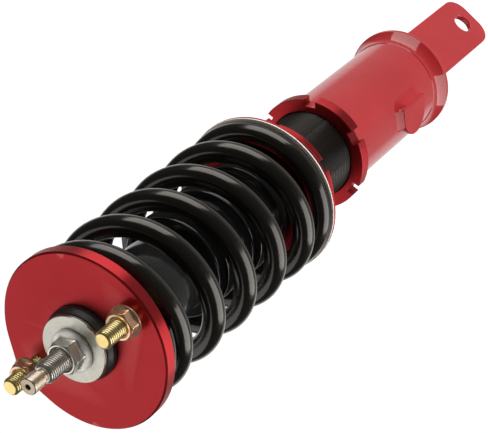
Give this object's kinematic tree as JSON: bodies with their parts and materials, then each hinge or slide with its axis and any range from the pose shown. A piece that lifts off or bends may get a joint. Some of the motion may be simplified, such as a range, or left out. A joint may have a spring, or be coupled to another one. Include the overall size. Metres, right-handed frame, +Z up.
{
  "type": "coilover strut",
  "caption": "Threaded-body coilover strut: blade lower mount, height collar, screw spring perch, coil spring with dust boot, and a round top plate with two studs.",
  "frame": {"origin": "centre of the bolt hole in the lower blade, half way through the blade's thickness", "axes": "+Z up the strut axis from the lower blade to the top mount, +X along the blade's width, Y along the lower bolt"},
  "size_m": [0.1017, 0.1037, 0.527],
  "materials": {
    "red_paint": "gloss red paint on welded steel",
    "red_anodised": "red anodised machined aluminium",
    "black_coat": "gloss black powder coat on spring steel",
    "black_thread": "dark phosphated steel tube with a fine outer thread",
    "black_rubber": "black moulded rubber",
    "bright_zinc": "bright zinc plated steel",
    "yellow_zinc": "yellow passivated zinc plated steel",
    "rod_steel": "ground steel",
    "turned_metal": "turned nickel plated brass",
    "bare_aluminium": "machined aluminium",
    "white_nylon": "natural nylon",
    "foam": "microcellular polyurethane foam",
    "bronze": "bronze-filled bearing liner"
  },
  "bodies": {
    "lower_bracket": {"lower_blade": "red_paint", "bracket_foot": "red_paint", "bracket_end_plate": "red_paint", "bracket_tube": "red_paint", "hose_tab": "red_paint"},
    "locking_collar": {"lock_ring": "red_anodised"},
    "damper_cylinder": {"damper_body": "black_thread", "seal_head": "bare_aluminium", "rod_guide_bush": "bronze", "rod_seal": "black_rubber", "rod_wiper": "black_rubber", "body_end_cap": "bare_aluminium", "gas_valve_screw": "bright_zinc", "dust_boot": "black_rubber"},
    "gas_divider": {"floating_piston": "bare_aluminium", "floating_piston_seal": "black_rubber"},
    "spring_seat": {"slip_washer": "white_nylon", "coil_spring": "black_coat"},
    "perch_collar": {"spring_perch": "red_anodised"},
    "stroke_slider": {"piston_band": "bronze"},
    "rod_and_top_mount": {"piston_rod": "rod_steel", "compression_shims": "rod_steel", "piston": "bare_aluminium", "rebound_shims": "rod_steel", "piston_nut": "bright_zinc", "bump_stop": "foam", "lower_clamp_washer": "bright_zinc", "lower_bush": "black_rubber", "bush_spacer": "rod_steel", "top_plate": "red_anodised", "upper_bush": "black_rubber", "clamp_washer": "bright_zinc", "top_nut": "bright_zinc", "mount_stud_front": "yellow_zinc", "mount_stud_rear": "yellow_zinc", "stud_nut_front": "yellow_zinc", "stud_nut_rear": "yellow_zinc"},
    "adjuster": {"damping_adjuster": "turned_metal", "control_rod": "rod_steel"}
  },
  "joints": [
    {"name": "lock_ring_turn", "type": "hinge", "parent": "lower_bracket", "child": "locking_collar", "pos_m": [-0.0024, 0, 0.2216], "axis": [0, 0, 1], "range_deg": [-45, 0]},
    {"name": "height_adjust", "type": "slide", "parent": "lower_bracket", "child": "damper_cylinder", "axis": [0, 0, 1], "range_m": [-0.012, 0.04]},
    {"name": "perch_height", "type": "slide", "parent": "damper_cylinder", "child": "spring_seat", "axis": [0, 0, 1], "range_m": [-0.025, 0]},
    {"name": "perch_turn", "type": "hinge", "parent": "spring_seat", "child": "perch_collar", "pos_m": [-0.0024, 0, 0.284], "axis": [0, 0, 1], "range_deg": [-4500, 0]},
    {"name": "damper_stroke", "type": "slide", "parent": "damper_cylinder", "child": "stroke_slider", "axis": [0, 0, 1], "range_m": [-0.07, 0], "stiffness_N_per_m": 98000, "springref_m": 0.001, "deforming": ["coil_spring", "dust_boot"]},
    {"name": "gas_divider_travel", "type": "slide", "parent": "damper_cylinder", "child": "gas_divider", "axis": [0, 0, 1], "range_m": [-0.0066, 0]},
    {"name": "top_mount_swivel", "type": "hinge", "parent": "stroke_slider", "child": "rod_and_top_mount", "pos_m": [-0.0024, 0, 0.4598], "axis": [0, 0, 1], "continuous": true},
    {"name": "damping_adjust", "type": "hinge", "parent": "rod_and_top_mount", "child": "adjuster", "pos_m": [-0.0024, 0, 0.504], "axis": [0, 0, 1], "range_deg": [-360, 360]}
  ],
  "couplings": [
    {"joint": "perch_height", "follows": "perch_turn", "m_per_rad": 0.00031831},
    {"joint": "gas_divider_travel", "follows": "damper_stroke", "ratio": 0.0926}
  ]
}
